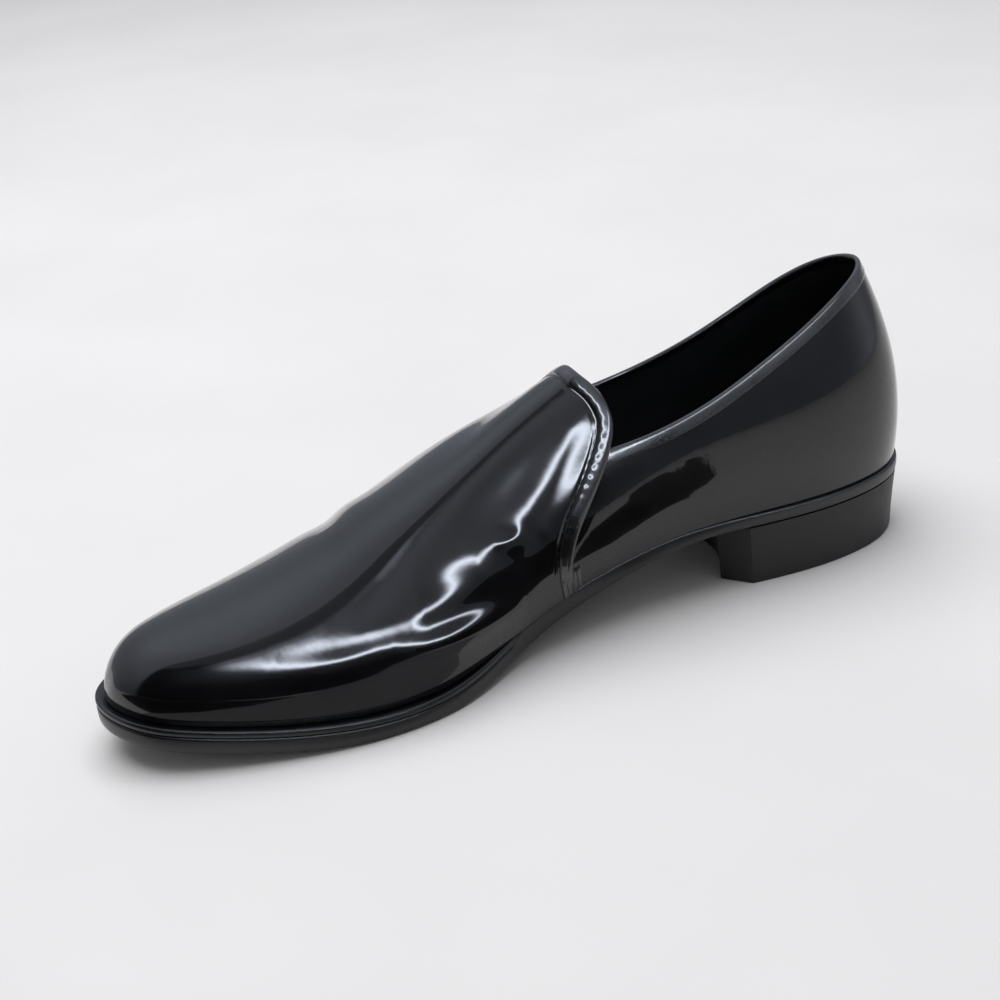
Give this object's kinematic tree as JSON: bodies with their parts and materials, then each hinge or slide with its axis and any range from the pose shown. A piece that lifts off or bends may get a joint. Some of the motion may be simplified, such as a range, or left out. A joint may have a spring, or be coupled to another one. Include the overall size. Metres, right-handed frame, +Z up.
{
  "type": "patent leather loafer",
  "caption": "Black patent leather slip-on loafer, right shoe, with a plain vamp and bound tab, bound collar, welted sole and low block heel.",
  "frame": {"origin": "centre of the box's base, on the floor plane", "axes": "+X from heel to toe, +Y to the inner side of the foot, +Z up"},
  "size_m": [0.3106, 0.1014, 0.1056],
  "materials": {
    "patent_leather": "mirror-gloss black patent coat",
    "bound_leather": "glossy black folded binding",
    "sole_edge": "black inked and waxed edge",
    "heel_block": "semi-matte black block",
    "lining_leather": "matte black lining leather"
  },
  "bodies": {
    "root": {"upper": "patent_leather", "vamp_binding": "bound_leather", "collar_binding": "bound_leather", "welt": "sole_edge", "outsole": "sole_edge", "heel": "heel_block", "insole": "lining_leather", "heel_pad": "lining_leather"}
  },
  "joints": []
}
